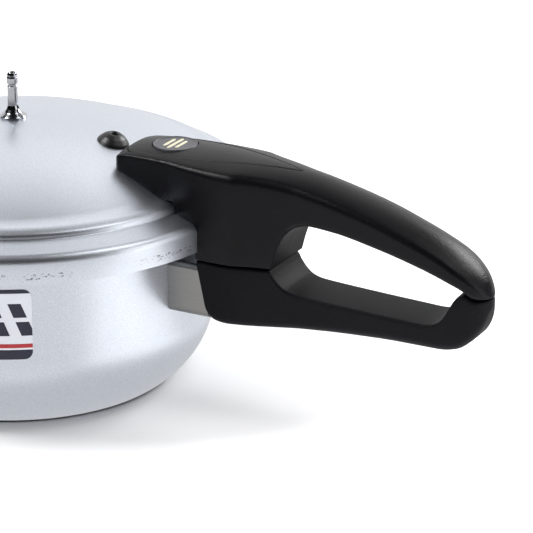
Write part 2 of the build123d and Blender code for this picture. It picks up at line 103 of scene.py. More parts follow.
# meshes
def newPiece(name, mesh, body, finish, hides=(), sharp=32):
    mesh.validate()
    for face in mesh.polygons:
        face.use_smooth = True
    mesh.set_sharp_from_angle(angle=radians(sharp))
    piece = bpy.data.objects.new(name, mesh)
    bpy.context.scene.collection.objects.link(piece)
    mesh.materials.append(finish)
    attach(piece, body)
    if hides:
        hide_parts(*hides)
    return piece


def meshFrom(name, verts, faces):
    mesh = bpy.data.meshes.new(name)
    mesh.from_pydata([tuple(v) for v in verts], [], faces)
    build = bmesh.new()
    build.from_mesh(mesh)
    bmesh.ops.remove_doubles(build, verts=build.verts, dist=1e-6)
    bmesh.ops.dissolve_degenerate(build, edges=build.edges, dist=1e-7)
    bmesh.ops.recalc_face_normals(build, faces=build.faces)
    build.to_mesh(mesh)
    build.free()
    return mesh


def latheMesh(name, profile, around=240, place=None):  # profile of (radius, height), closed through the axis
    verts, faces, rings = [], [], []
    for radius, height in profile:
        if radius < 1e-7:
            rings.append([len(verts)] * around)
            verts.append(Vector((0, 0, height)))
        else:
            rings.append([len(verts) + k for k in range(around)])
            verts += [Vector((radius * cos(2 * pi * k / around), radius * sin(2 * pi * k / around), height))
                      for k in range(around)]
    for low, high in zip(rings, rings[1:]):
        for k in range(around):
            n = (k + 1) % around
            corner = []
            for index in (low[k], low[n], high[n], high[k]):
                if index not in corner:
                    corner.append(index)
            if len(corner) > 2:
                faces.append(corner)
    if place is not None:
        verts = [place @ v for v in verts]
    return meshFrom(name, verts, faces)


def loftMesh(name, sections):  # closed rings of equal count, capped at both ends
    count = len(sections[0])
    verts = [p for ring in sections for p in ring]
    faces = []
    for s in range(len(sections) - 1):
        for k in range(count):
            n = (k + 1) % count
            a, b = s * count, (s + 1) * count
            faces.append([a + k, a + n, b + n, b + k])
    faces.append(list(range(count)))
    faces.append(list(range(len(verts) - count, len(verts))))
    return meshFrom(name, verts, faces)


def joinMeshes(name, parts):
    build = bmesh.new()
    for part in parts:
        build.from_mesh(part)
    mesh = bpy.data.meshes.new(name)
    build.to_mesh(mesh)
    build.free()
    return mesh


def carved(mesh, cutter):
    holder = bpy.data.objects.new("carveHolder", mesh)
    tool = bpy.data.objects.new("carveTool", cutter)
    for thing in (holder, tool):
        bpy.context.scene.collection.objects.link(thing)
    cut = holder.modifiers.new("cut", "BOOLEAN")
    cut.operation = "DIFFERENCE"
    cut.solver = "EXACT"
    cut.object = tool
    result = bpy.data.meshes.new_from_object(holder.evaluated_get(bpy.context.evaluated_depsgraph_get()))
    for thing in (holder, tool):
        bpy.data.objects.remove(thing)
    result.materials.clear()
    return result


# shader helpers
class Wire:
    def __init__(self, tree, socket):
        self.tree, self.socket = tree, socket

    def math(self, operation, first, second=0.0):
        node = self.tree.nodes.new("ShaderNodeMath")
        node.operation = operation
        plug(self.tree, node.inputs[0], first)
        plug(self.tree, node.inputs[1], second)
        return Wire(self.tree, node.outputs[0])

    def __add__(self, other): return self.math("ADD", self, other)
    def __radd__(self, other): return self.math("ADD", other, self)
    def __sub__(self, other): return self.math("SUBTRACT", self, other)
    def __rsub__(self, other): return self.math("SUBTRACT", other, self)
    def __mul__(self, other): return self.math("MULTIPLY", self, other)
    def __rmul__(self, other): return self.math("MULTIPLY", other, self)
    def __truediv__(self, other): return self.math("DIVIDE", self, other)
    def __rtruediv__(self, other): return self.math("DIVIDE", other, self)
    def __pow__(self, other): return self.math("POWER", self, other)
    def __rpow__(self, other): return self.math("POWER", other, self)
    def __lt__(self, other): return self.math("LESS_THAN", self, other)
    def __gt__(self, other): return self.math("GREATER_THAN", self, other)


def plug(tree, socket, value):
    if isinstance(value, Wire):
        tree.links.new(value.socket, socket)
    else:
        socket.default_value = value


class Finish:
    def __init__(self, name, colour, metallic=0.0, roughness=0.5):
        self.material = bpy.data.materials.new(name)
        self.material.use_nodes = True
        self.tree = self.material.node_tree
        self.shader = next(n for n in self.tree.nodes if n.type == "BSDF_PRINCIPLED")
        self.shader.inputs["Base Color"].default_value = (*colour, 1)
        self.shader.inputs["Metallic"].default_value = metallic
        self.shader.inputs["Roughness"].default_value = roughness
        self.place = self.add("ShaderNodeTexCoord", out="Object")

    def add(self, kind, settings=None, out=0, **values):
        node = self.tree.nodes.new(kind)
        for key, value in (settings or {}).items():
            if key == "stops":
                for stop, (position, shade) in enumerate(value):
                    ramp = node.color_ramp.elements
                    element = ramp[stop] if stop < len(ramp) else ramp.new(position)
                    element.position, element.color = position, (shade, shade, shade, 1)
            else:
                setattr(node, key, value)
        for key, value in values.items():
            plug(self.tree, node.inputs[key.replace("_", " ")], value)
        return Wire(self.tree, node.outputs[out])

    def stretched(self, scale):
        return self.add("ShaderNodeMapping", Vector=self.place, Scale=scale)

    def noise(self, scale, detail=2.0, vector=None):
        return self.add("ShaderNodeTexNoise", out="Fac", Vector=vector or self.place,
                        Scale=scale, Detail=detail)

    def ramp(self, value, *stops):
        return self.add("ShaderNodeValToRGB", {"stops": stops}, out="Color", Fac=value)

    def mixed(self, factor, first, second):
        node = self.tree.nodes.new("ShaderNodeMix")
        node.data_type = "RGBA"
        plug(self.tree, node.inputs[0], factor)
        for socket, value in ((node.inputs[6], first), (node.inputs[7], second)):
            plug(self.tree, socket, value if isinstance(value, Wire) else (*value, 1))
        return Wire(self.tree, node.outputs[2])

    def axes(self):
        node = self.tree.nodes.new("ShaderNodeSeparateXYZ")
        plug(self.tree, node.inputs[0], self.place)
        return [Wire(self.tree, output) for output in node.outputs]

    def feed(self, socket, value):
        plug(self.tree, self.shader.inputs[socket], value)

    def bump(self, height, strength=0.3, distance=0.0002):
        self.feed("Normal", self.add("ShaderNodeBump", out="Normal", Height=height,
                                     Strength=strength, Distance=distance))


# finishes
aluminium = dict(colour=(0.615, 0.645, 0.705), panRough=0.36, lidRough=0.37, grain=1500.0,
                 worn=(0.12, 0.115, 0.11))


def satinAluminium(name, rough, blotch, grainDepth):
    f = Finish(name, aluminium["colour"], 1.0, rough)
    cloud = f.noise(14.0, 3.0)
    fine = f.noise(aluminium["grain"], 1.0)
    f.feed("Roughness", rough + (cloud - 0.5) * blotch + (fine - 0.5) * 0.05)
    f.feed("Base Color", f.mixed(f.ramp(fine, (0.32, 0.0), (0.68, 1.0)),
                                 tuple(0.90 * c for c in aluminium["colour"]),
                                 tuple(1.06 * c for c in aluminium["colour"])))
    f.bump(fine, 0.22, grainDepth)
    return f


def turnedAluminium():  # satin lid with faint lathe rings and rubbed specks along its lower edge
    f = satinAluminium("lidAluminium", aluminium["lidRough"], 0.06, 0.0003)
    x, y, z = f.axes()
    rings = f.add("ShaderNodeTexNoise", {"noise_dimensions": "1D"}, out="Fac",
                  W=(x * x + y * y) ** 0.5, Scale=2600.0, Detail=1.0)
    band = (z > skirtBottom + 0.0030) * (z < skirtBottom + 0.0062)
    marks = f.ramp(f.noise(560.0, 3.0, f.stretched((1.0, 1.0, 2.0))), (0.56, 0.0), (0.62, 1.0))
    patches = f.ramp(f.noise(31.0, 2.0, f.stretched((1.0, 1.0, 0.3))), (0.40, 0.0), (0.50, 1.0))
    worn = marks * patches * band
    speckle = f.ramp(f.noise(aluminium["grain"], 1.0), (0.32, 0.0), (0.68, 1.0)) * 0.8 + rings * 0.2
    plain = f.mixed(speckle, tuple(0.90 * c for c in aluminium["colour"]),
                    tuple(1.06 * c for c in aluminium["colour"]))
    f.feed("Base Color", f.mixed(worn * 0.8, plain, aluminium["worn"]))
    f.feed("Roughness", aluminium["lidRough"] + (rings - 0.5) * 0.08 + worn * 0.2)
    return f.material


def panAluminium():
    return satinAluminium("panAluminium", aluminium["panRough"], 0.05, 0.00012).material


def chromePlate():
    f = Finish("ventChrome", (0.42, 0.43, 0.46), 1.0, 0.16)
    f.feed("Roughness", 0.12 + f.noise(300.0) * 0.08)
    return f.material


def phenolic(name, colour, rough, grain, gloss=0.16):
    f = Finish(name, colour, 0.0, rough)
    f.shader.inputs["Specular IOR Level"].default_value = gloss
    fine = f.noise(grain, 2.0)
    smear = f.noise(26.0, 3.0)
    f.feed("Roughness", rough + (fine - 0.5) * 0.12 + (smear - 0.5) * 0.08)
    f.feed("Base Color", f.mixed(smear, colour, tuple(1.5 * c for c in colour)))
    f.bump(fine, 0.5, 0.0003)
    return f.material


def rubber(name, colour, rough, sheen=0.1):
    f = Finish(name, colour, 0.0, rough)
    f.shader.inputs["Sheen Weight"].default_value = sheen
    speck = f.noise(900.0, 2.0)
    f.feed("Roughness", rough + (speck - 0.5) * 0.14)
    f.bump(speck, 0.2, 0.00005)
    return f.material


def brushedSteel(name, colour, rough, scale):
    f = Finish(name, colour, 1.0, rough)
    streak = f.noise(60.0, 4.0, f.stretched(scale))
    f.feed("Roughness", rough + (streak - 0.5) * 0.22)
    f.feed("Base Color", f.mixed(streak, tuple(0.85 * c for c in colour), colour))
    f.bump(streak, 0.12, 0.00005)
    return f.material


def machined(name, colour, rough):
    f = Finish(name, colour, 1.0, rough)
    f.feed("Roughness", rough + (f.noise(420.0, 3.0) - 0.5) * 0.16)
    return f.material


lidMetal, panMetal = turnedAluminium(), panAluminium()
ventMetal = chromePlate()
handleBlack = phenolic("handlePhenolic", (0.0026, 0.0026, 0.0036), 0.32, 1500.0, 0.15)
gripBlack = phenolic("gripPhenolic", (0.0042, 0.0042, 0.0055), 0.50, 1500.0, 0.08)
coverBlack = phenolic("coverPhenolic", (0.006, 0.006, 0.007), 0.42, 1100.0, 0.24)
bracketMetal = brushedSteel("bracketSteel", (0.27, 0.265, 0.26), 0.30, (1.0, 1.0, 9.0))
screwMetal = machined("screwZinc", (0.62, 0.62, 0.62), 0.30)
studMetal = machined("studAluminium", (0.76, 0.77, 0.79), 0.33)
nutMetal = machined("nutBrass", (0.78, 0.60, 0.30), 0.25)
gasketRubber = rubber("gasketSilicone", (0.55, 0.55, 0.53), 0.5)
sealRubber = rubber("sealSilicone", (0.45, 0.09, 0.06), 0.45)
plugRubber = rubber("plugRubber", (0.005, 0.005, 0.006), 0.40, 0.0)
badgeGrey = phenolic("badgeGrey", (0.05, 0.05, 0.058), 0.34, 700.0, 0.35)
emblemGold = machined("emblemGold", (0.86, 0.82, 0.62), 0.42)
print("finishes ready")

for node, material in {
    "pan_bracket": bracketMetal, "bracket_tongue": bracketMetal, "lid_angle": bracketMetal,
    "vent_shield": bracketMetal, "bracket_rivets": studMetal, "angle_rivets": studMetal,
    "lid_stud": studMetal, "lower_handle_screw": screwMetal, "lower_handle_washer": screwMetal,
    "lower_handle_nut": screwMetal, "badge_screw": screwMetal, "badge_washer": screwMetal,
    "rear_screw": screwMetal, "rear_washer": screwMetal, "vent_nut": nutMetal, "vent_seal": sealRubber,
}.items():
    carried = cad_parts[node].data
    carried.materials.clear()
    carried.materials.append(material)

# lid
lid = dict(
    sheet=3.0, shoulder=14.7, riserFoot=(115.6, 19.2), riserHead=(115.2, 21.9), riserTop=(111.6, 24.1),
    domeEdge=(105.2, 25.5), shoulderRound=5.2, headRound=4.5, topRound=12.0, footRound=1.1,
    lugs=6, lugAngle=27.0, lugInner=120.6, lugLift=0.6, lugThick=3.2,
)


def ballRadius(radius, rise):  # radius of the sphere that a dome is cut from
    return (radius ** 2 + rise ** 2) / (2 * rise)


def domeArc(radius, edgeHeight, top, steps=36):  # circular dome from the axis out to its edge
    ball = ballRadius(radius, top - edgeHeight)
    sweep = asin(radius / ball)
    return [(ball * sin(sweep * k / steps), top - ball * (1 - cos(sweep * k / steps))) for k in range(steps + 1)]


def lidFace(drop, rounds):  # outer or inner face, skirt to dome edge, in millimetres above the skirt's edge
    footX, footZ = lid["riserFoot"]
    outer = skirtRadius / mm
    slope = (lid["shoulder"] - footZ) / (outer - footX)
    corner = (outer - drop, footZ - 0.73 * drop + slope * (outer - footX))
    head, top, edge = lid["riserHead"], lid["riserTop"], lid["domeEdge"]
    return [(outer - drop, 0.0, 0), (*corner, rounds[0]), (footX - drop, footZ - 0.73 * drop, rounds[1]),
            (head[0] - drop, head[1] - 0.9 * drop, rounds[2]), (top[0] - 0.7 * drop, top[1] - drop, rounds[3]),
            (edge[0] - 0.45 * drop, edge[1] - 0.9 * drop, 0)]


def ringSector(inner, outer, low, high, middle, spread, steps=14):  # one lug as a small solid
    rings = []
    for k in range(steps + 1):
        turn = middle + spread * (k / steps - 0.5)
        rings.append([Vector((r * cos(turn), r * sin(turn), z))
                      for r, z in ((inner, low), (outer, low), (outer, high), (inner, high))])
    return loftMesh("lug", rings)


def lugRing(inner, outer, low, high):
    return [ringSector(inner, outer, low, high, k * 2 * pi / lid["lugs"], radians(lid["lugAngle"]))
            for k in range(lid["lugs"])]


def buildLid():
    edge = lid["domeEdge"]
    domeRise = (domeTop - skirtBottom) / mm
    outer = roundPath(lidFace(0.0, [lid[key] for key in ("shoulderRound", "footRound", "headRound", "topRound")]))
    inner = roundPath(lidFace(lid["sheet"], (2.0, 1.5, 1.0, 3.0)))
    innerEdge = (edge[0] - 0.45 * lid["sheet"], edge[1] - 0.9 * lid["sheet"])
    profile = domeArc(edge[0], edge[1], domeRise)[:-1] + [(p.x, p.y) for p in reversed(outer[1:])]
    hem = skirtRadius / mm
    profile += [(hem, 0.5), (hem - 0.15, 0.15), (hem - 0.5, 0.0), (hem - lid["sheet"] + 0.5, 0.0),
                (hem - lid["sheet"] + 0.15, 0.15)]
    profile += [(p.x, max(p.y, 0.5)) for p in inner[:-1]]
    profile += list(reversed(domeArc(innerEdge[0], innerEdge[1], domeRise - lid["sheet"])))
    shell = latheMesh("lidShell", [(r * mm, skirtBottom + z * mm) for r, z in profile], 288)
    low = skirtBottom + lid["lugLift"] * mm
    lugs = lugRing(lid["lugInner"] * mm, skirtRadius - 2.4 * mm, low, low + lid["lugThick"] * mm)
    mesh = joinMeshes("lidShell", [shell] + lugs)
    return newPiece("lidShell", mesh, "lid", lidMetal, ("lid_shell",))


buildLid()
print("lid built")

# pan
pan = dict(radius=109.2, sheet=3.0, baseRadius=84.5, foot=(86.2, 0.55), bowlTop=42.6, bowl=50.0,
           flange=119.0, lugRadius=125.2)


def arcBetween(start, stop, radius, steps=18):  # arc bulging outwards and down
    a, b = Vector(start), Vector(stop)
    middle = (a + b) / 2
    across = b - a
    lift = sqrt(max(0.0, radius ** 2 - across.length_squared / 4))
    centre = middle + Vector((-across.y, across.x)).normalized() * lift
    first, last = a - centre, b - centre
    turn = first.angle_signed(last)
    return [tuple(centre + Matrix.Rotation(-turn * k / steps, 2) @ first) for k in range(steps + 1)]


def buildPan():
    rimTop = panTop / mm
    under = rimTop - pan["sheet"]
    outer, inner = pan["radius"], pan["radius"] - pan["sheet"]
    rim = [(outer, pan["bowlTop"], 0), (outer, under, 1.2), (pan["flange"], under, 0.6),
           (pan["flange"], rimTop, 0.6), (inner, rimTop, 2.4), (inner, pan["bowlTop"], 0)]
    profile = [(0, 0), (40, 0), (pan["baseRadius"] - 0.4, 0)]
    profile += [(pan["baseRadius"] + 0.9, 0.16)]
    profile += arcBetween(pan["foot"], (outer, pan["bowlTop"]), pan["bowl"], 30)
    profile += [(p.x, p.y) for p in roundPath(rim)]
    floorEdge = (pan["baseRadius"] - 0.5, pan["sheet"])
    inside = arcBetween(floorEdge, (inner, pan["bowlTop"]), pan["bowl"] - pan["sheet"], 26)
    profile += list(reversed(inside))[1:]
    profile += [(40, pan["sheet"]), (0, pan["sheet"])]
    shell = latheMesh("panBody", [(r * mm, z * mm) for r, z in profile], 288)
    lugs = lugRing((pan["flange"] - 2) * mm, pan["lugRadius"] * mm, under * mm, rimTop * mm)
    mesh = joinMeshes("panBody", [shell] + lugs)
    return newPiece("panBody", mesh, "pan", panMetal, ("pan_body",))


buildPan()
print("pan built")

# handles
upper = dict(
    start=73.0, end=287.0,
    crown=[(73, 43.6), (76, 45.6), (80, 47.8), (101.5, 49.7), (128, 49.7), (152, 48.8), (180, 46.0), (210, 39.6),
           (240, 30.4), (262, 21.2), (278, 10.4), (284, 3.6), (287, -3.4)],
    edge=[(73, 42.6), (76, 44.3), (80, 45.6), (92, 46.4), (105, 46.6), (120, 46.1), (135, 45.4), (150, 44.8),
          (165, 43.8), (180, 41.5), (195, 38.6), (210, 35.2), (225, 31.1), (240, 25.8), (255, 20.0), (270, 12.7),
          (280, 5.0), (287, -3.6)],
    half=[(73, 18.2), (92, 19.9), (108, 21.6), (126, 24.0), (141, 24.6), (147.5, 24.2), (151, 22.9),
          (158, 20.7), (168, 18.6), (182, 16.9), (215, 16.2), (255, 15.6), (287, 14.6)],
    under=[(168.0, -4.2), (169.4, 1.0), (171.6, 7.6), (174.2, 13.2), (177.6, 17.6), (182.0, 20.4), (188.0, 21.7),
           (203, 20.6), (225, 16.4), (253, 9.1), (266, 4.6), (274.6, 0.6), (278, -2.6), (280.5, -3.9), (287, -3.9)],
    noseLength=3.4, noseShape=2.2, tipLength=21.0, tipShape=2.0, underRound=3.2, rootRound=1.0,
    gapWalls=(0.167, 0.283),  # metres along the grip between which the finger gap's walls lie
    topRound=[(73, 1.3), (100, 2.4), (125, 4.2), (150, 5.6), (200, 5.4), (260, 4.2), (287, 3.0)],
)
lower = dict(
    start=125.2, end=287.0, lean=-0.218,
    top=[(125.2, -5.7), (166, -5.6), (168.2, -8.6), (171.4, -12.4), (176, -15.8), (182, -17.4), (190, -17.9),
         (213, -18.9), (242, -19.9), (252, -20.2), (258, -19.6), (262.2, -17.8), (265.4, -14.4), (268.2, -9.4),
         (270.6, -4.9), (273.0, -2.1), (275.0, -1.5), (277.5, -3.4), (280.0, -5.0), (287, -5.2)],
    bottom=[(125.2, -34.0), (127.5, -36.8), (131, -38.4), (140, -39.0), (157, -38.8), (170, -38.0), (184, -36.6),
            (214, -34.3), (242, -33.2), (262, -33.2), (272, -31.6), (279, -27.0), (284, -19.5), (287, -9.5)],
    half=[(125.2, 22.2), (141, 22.6), (149, 21.6), (158, 19.4), (168, 17.3), (182, 16.0), (215, 15.6), (255, 15.4),
          (287, 14.6)],
    tipLength=21.0, tipShape=2.0, topRound=1.5, underRound=4.5,
)


def cappedWidth(x, shape):  # plan half-width with the blunt nose and the round tip worked in
    width = shape["halfAt"](x)
    if "noseLength" in shape:
        t = min(1.0, max(0.0, (x - shape["start"]) / shape["noseLength"]))
        width *= (1 - (1 - t) ** shape["noseShape"]) ** (1 / shape["noseShape"])
    t = min(1.0, max(0.0, (shape["end"] - x) / shape["tipLength"]))
    return width * (1 - (1 - t) ** shape["tipShape"]) ** (1 / shape["tipShape"])


def lidSurface(radius):  # outer face of the lid above the skirt's edge, millimetres
    footX, footZ = lid["riserFoot"]
    if radius > skirtRadius / mm - 1.4:
        return None
    if radius > footX - 1.2:
        return footZ + (radius - footX) * (lid["shoulder"] - footZ) / (skirtRadius / mm - footX)
    edge = lid["domeEdge"]
    rise = (domeTop - skirtBottom) / mm - edge[1]
    ball = ballRadius(edge[0], rise)
    return edge[1] + rise - ball + sqrt(ball ** 2 - min(radius, edge[0]) ** 2)


def sectionPoints(width, crown, edge, bottomAt, topRound, underRound, seam=0.12):
    topRound = min(topRound, 0.42 * width)
    fall = max(0.0, crown - edge)
    slope = atan2(2 * fall, max(0.3, width - topRound))
    shoulder = width - topRound + topRound * sin(slope)
    centre = (width - topRound, edge - topRound * cos(slope))
    half = [(shoulder * k / 12, crown - fall * (k / 12) ** 2) for k in range(12)]
    half += [(centre[0] + topRound * sin(turn), centre[1] + topRound * cos(turn))
             for turn in (slope + (pi / 2 - slope) * k / 7 for k in range(8))]
    low = bottomAt(width)
    sideTop = centre[1]
    underRound = min(underRound, 0.42 * width, max(0.05, 0.48 * (sideTop - low)))
    lowCentre = (width - underRound, low + underRound)
    half += [(width, sideTop + (lowCentre[1] - sideTop) * k / 6) for k in range(1, 6)]
    half += [(lowCentre[0] + underRound * cos(turn), lowCentre[1] - underRound * sin(turn))
             for turn in (pi / 2 * k / 6 for k in range(7))]
    flat = lowCentre[0]
    half += [(y, bottomAt(y)) for y in (flat * 0.8, flat * 0.6, flat * 0.4, flat * 0.2, min(0.5, flat * 0.1))]
    half += [(0.0, bottomAt(0.0) - seam)]
    return half


def ringFrom(x, half, shift=None):
    mirrored = [(-y, z) for y, z in reversed(half[1:-1])]
    points = []
    for y, z in half + mirrored:
        points.append(Vector(((x + (shift(z) if shift else 0.0)) * mm, y * mm, skirtBottom + z * mm)))
    return points


def stations(start, end, fine, ends=(True, True)):
    xs = set()
    for k in range(19):
        ease = 1 - cos(pi / 2 * k / 18)
        if ends[0]:
            xs.add(start + 0.02 + 14 * ease)
        if ends[1]:
            xs.add(end - 0.02 - 18 * ease)
    step = start + (14 if ends[0] else 0)
    while step < end - 18:
        xs.add(step)
        step += 0.6 if any(a < step < b for a, b in fine) else 1.8
    return sorted(xs)


def buildUpper():
    crownAt, edgeAt, underAt = (smoothCurve(upper[key]) for key in ("crown", "edge", "under"))
    upper["halfAt"], upper["roundAt"] = smoothCurve(upper["half"]), smoothCurve(upper["topRound"])
    upper["crownAt"], upper["edgeAt"] = crownAt, lambda x: edgeAt(x) + 0.29 * (upper["roundAt"](x) - 2.6)
    root = upper["under"][0][1]
    rings = []
    for x in stations(upper["start"], upper["end"], ((124, 131), (167, 190), (272, 283))):
        width = cappedWidth(x, upper)

        def bottomAt(y, x=x):
            if x >= upper["under"][0][0]:
                return underAt(x)
            surface = lidSurface(sqrt(x * x + y * y))
            return root if surface is None else surface - 0.7

        roundLow = upper["underRound"] if x > 176 else upper["rootRound"]
        half = sectionPoints(width, crownAt(x), upper["edgeAt"](x), bottomAt, upper["roundAt"](x), roundLow)
        rings.append(ringFrom(x, half))
    return loftMesh("upperHandle", rings)


def buildLower():
    topAt, bottomAt = smoothCurve(lower["top"]), smoothCurve(lower["bottom"])
    lower["halfAt"] = smoothCurve(lower["half"])
    rings = []
    first = lower["start"]
    spots = [(first, 1.2), (first + 0.12, 0.6), (first + 0.4, 0.2), (first + 0.9, 0.0)]
    spots += [(x, 0.0) for x in stations(first + 1.6, lower["end"], ((164, 182), (256, 284)), (False, True))]
    for x, inset in spots:
        width = cappedWidth(x, lower) - inset
        fade = max(0.0, 1 - (x - first) / 22)
        high, low = topAt(x) - inset, bottomAt(x) + inset
        half = sectionPoints(width, high + 0.5, high, lambda y: low, lower["topRound"], lower["underRound"])
        rings.append(ringFrom(x, half, lambda z: lower["lean"] * (z + 5.6) * fade))
    return loftMesh("lowerHandle", rings)


# leaf cover and badge
upperMesh, lowerMesh = buildUpper(), buildLower()
cover = dict(
    half=[(76.5, 14.0), (84, 15.4), (96, 16.4), (112, 16.2), (125, 15.0), (140, 11.4), (155, 7.0),
          (170, 2.6), (177, 0.3)],
    noseLength=7.0, proud=0.12, gap=0.42, rim=0.45,
)


def coverHalf(x):
    width = smoothCurve(cover["half"])(x)
    t = min(1.0, max(0.0, (x - cover["half"][0][0]) / cover["noseLength"]))
    return max(0.15, width * sqrt(1 - (1 - t) ** 2))


def topHeight(x, y):  # crowned top of the upper handle above the skirt's edge
    width = cappedWidth(x, upper)
    crown, edge = upper["crownAt"](x), upper["edgeAt"](x)
    return crown - (crown - edge) * min(1.0, abs(y) / (width - min(upper["roundAt"](x), 0.42 * width))) ** 2


def leafSolid(grow, above, below, rim):
    rings = []
    first, last = cover["half"][0][0], cover["half"][-1][0]
    xs = [first + 0.02 + 9 * (1 - cos(pi / 2 * k / 12)) for k in range(13)]
    xs += [xs[-1] + (last - xs[-1]) * k / 56 for k in range(1, 57)]
    for x in xs:
        width = coverHalf(x) + grow
        edge = min(rim, width * 0.4)
        side = [(width - edge * (1 - sin(turn)), topHeight(x, width) + above - edge * (1 - cos(turn)))
                for turn in (pi / 2 * k / 4 for k in range(5))]
        top = [(y, topHeight(x, y) + above) for y in ((width - edge) * k / 10 for k in range(10))]
        low = [(width, topHeight(x, width) - below), (0.0, topHeight(x, 0.0) - below)]
        along = x + grow * (2 * (x - first) / (last - first) - 1)
        rings.append(ringFrom(along, top + side + low))
    return loftMesh("leaf", rings)


def badgeCut(reach):
    low, high = topHeight(badge["x"], 0) - badge["depth"], topHeight(badge["x"], 0) + 6
    place = Matrix.Translation((badge["x"] * mm, 0, skirtBottom))
    path = [(r * mm, z * mm) for r, z in ((0, low), (reach, low), (reach, high), (0, high))]
    return latheMesh("badgeCut", path, 96, place)


badge = dict(
    x=101.5, radius=12.0, sink=0.1, rimWidth=0.8, groove=0.6, depth=2.6,
    barReach=(8.6, 6.2), barHalf=0.95, barPitch=3.6,
)
upperMesh = carved(upperMesh, leafSolid(cover["gap"], 5.0, 1.1, 0.05))
badgeSeat = badge["radius"] + badge["groove"]
upperMesh = carved(upperMesh, badgeCut(badgeSeat))
coverMesh = carved(leafSolid(0.0, cover["proud"], 1.0, cover["rim"]), badgeCut(badgeSeat))
upperPiece = newPiece("upperHandle", upperMesh, "lid", handleBlack, ("upper_handle",), 40)
upperPiece.data.materials.append(gripBlack)
gapStart, gapEnd = upper["gapWalls"]
for face in upperPiece.data.polygons:  # the finger gap's walls carry the coarser mould grain
    face.material_index = int(gapStart < face.center.x < gapEnd and abs(face.normal.y) < 0.5
                              and face.normal.z < 0.25)
newPiece("lowerHandle", lowerMesh, "pan", gripBlack, ("lower_handle",), 40)
newPiece("handleCover", coverMesh, "lid", coverBlack, ("handle_cover",), 40)
print("handles built")


def buildBadge():
    top, r, rimWidth = topHeight(badge["x"], 0) - badge["sink"], badge["radius"], badge["rimWidth"]
    profile = [(0, top - 2.2, 0), (r, top - 2.2, 0), (r, top, 0.35), (r - rimWidth, top, 0.2),
               (r - rimWidth - 0.3, top - 0.3, 0.15), (0, top - 0.22, 0)]
    place = Matrix.Translation((badge["x"] * mm, 0, skirtBottom))
    path = [(p.x * mm, p.y * mm) for p in roundPath(profile, 5)]
    return latheMesh("handleBadge", path, 96, place), top


badgeMesh, badgeTop = buildBadge()
newPiece("handleBadge", badgeMesh, "lid", badgeGrey, ("handle_badge",), 40)


def buildEmblem():  # three plain bars
    parts = []
    for side in (-1, 0, 1):
        rings = []
        reach = badge["barReach"][abs(side)]
        for k in range(25):
            along = -reach + 2 * reach * k / 24
            half = badge["barHalf"] * sqrt(max(0.02, 1 - (abs(along) / reach) ** 8))
            middle = badge["x"] + side * badge["barPitch"]
            low, high = badgeTop - 0.7, badgeTop - 0.12
            corners = ((-half, low), (half, low), (half, high), (-half, high))
            rings.append([Vector(((middle + x) * mm, along * mm, skirtBottom + z * mm)) for x, z in corners])
        parts.append(loftMesh("bar", rings))
    return joinMeshes("badgeEmblem", parts)


newPiece("badgeEmblem", buildEmblem(), "lid", emblemGold, ("badge_emblem",), 40)
print("badge built")

# steam vent
vent = dict(tube=2.85, rise=25.3, collar=3.1, foot=7.2, bore=1.25)


def buildVent():
    top, tube, collar = vent["rise"], vent["tube"], vent["collar"]
    profile = [
        (0, -10.0, 0), (3.9, -10.0, 0), (3.9, -0.6, 0), (vent["foot"] - 0.3, -0.6, 0), (vent["foot"], 0.0, 0.2),
        (vent["foot"], 1.0, 0.3), (6.5, 1.6, 0.5), (4.7, 3.0, 1.5), (3.5, 4.9, 2.0), (tube, 6.8, 2.5),
        (tube, top - 7.6, 0.2), (tube - 0.5, top - 7.2, 0.2), (tube - 0.5, top - 6.6, 0.2),
        (collar, top - 6.1, 0.3), (collar, top - 3.0, 0.4), (tube - 0.2, top - 2.2, 0.3),
        (tube + 0.05, top - 1.4, 0.4), (tube - 0.6, top, 0.4),
        (vent["bore"] + 0.5, top, 0.3), (vent["bore"], top - 0.9, 0.2), (vent["bore"], top - 9.0, 0),
        (0, top - 9.0, 0),
    ]
    path = [(p.x * mm, domeTop + p.y * mm) for p in roundPath(profile, 6)]
    return latheMesh("ventTube", path, 96)


newPiece("ventTube", buildVent(), "lid", ventMetal, ("vent_tube",), 40)

# safety plug
plugShape = dict(place=(59.2, 6.5), radius=8.9, height=5.3, dimple=2.1)


def buildPlug():
    edge = lid["domeEdge"]
    rise = (domeTop - skirtBottom) / mm - edge[1]
    ball = ballRadius(edge[0], rise)
    x, y = plugShape["place"]
    normal = Vector((x, y, sqrt(ball ** 2 - x * x - y * y))).normalized()
    centre = Vector((0, 0, domeTop - ball * mm))
    tilt = normal.to_track_quat("Z", "Y").to_matrix().to_4x4()
    place = Matrix.Translation(centre + normal * ball * mm) @ tilt
    r, h, d = plugShape["radius"], plugShape["height"], plugShape["dimple"]
    profile = [(0, -7.6, 0), (5.6, -7.6, 0.6), (6.9, -4.6, 0.5), (6.9, -3.3, 0.3), (4.9, -3.3, 0), (4.9, -0.4, 0),
               (r - 0.3, -0.5, 0.1), (r, 0.05, 0.25), (r - 0.9, 1.5, 1.5), (r - 2.9, 3.6, 3.0),
               (r - 4.9, h - 0.45, 2.5), (d + 0.5, h, 0.8), (d - 0.1, h - 0.7, 0.3),
               (d - 0.5, h - 2.2, 0.3), (0, h - 2.3, 0)]
    return latheMesh("safetyPlug", [(p.x * mm, p.y * mm) for p in roundPath(profile, 6)], 96, place)


newPiece("safetyPlug", buildPlug(), "lid", plugRubber, ("safety_plug",), 50)


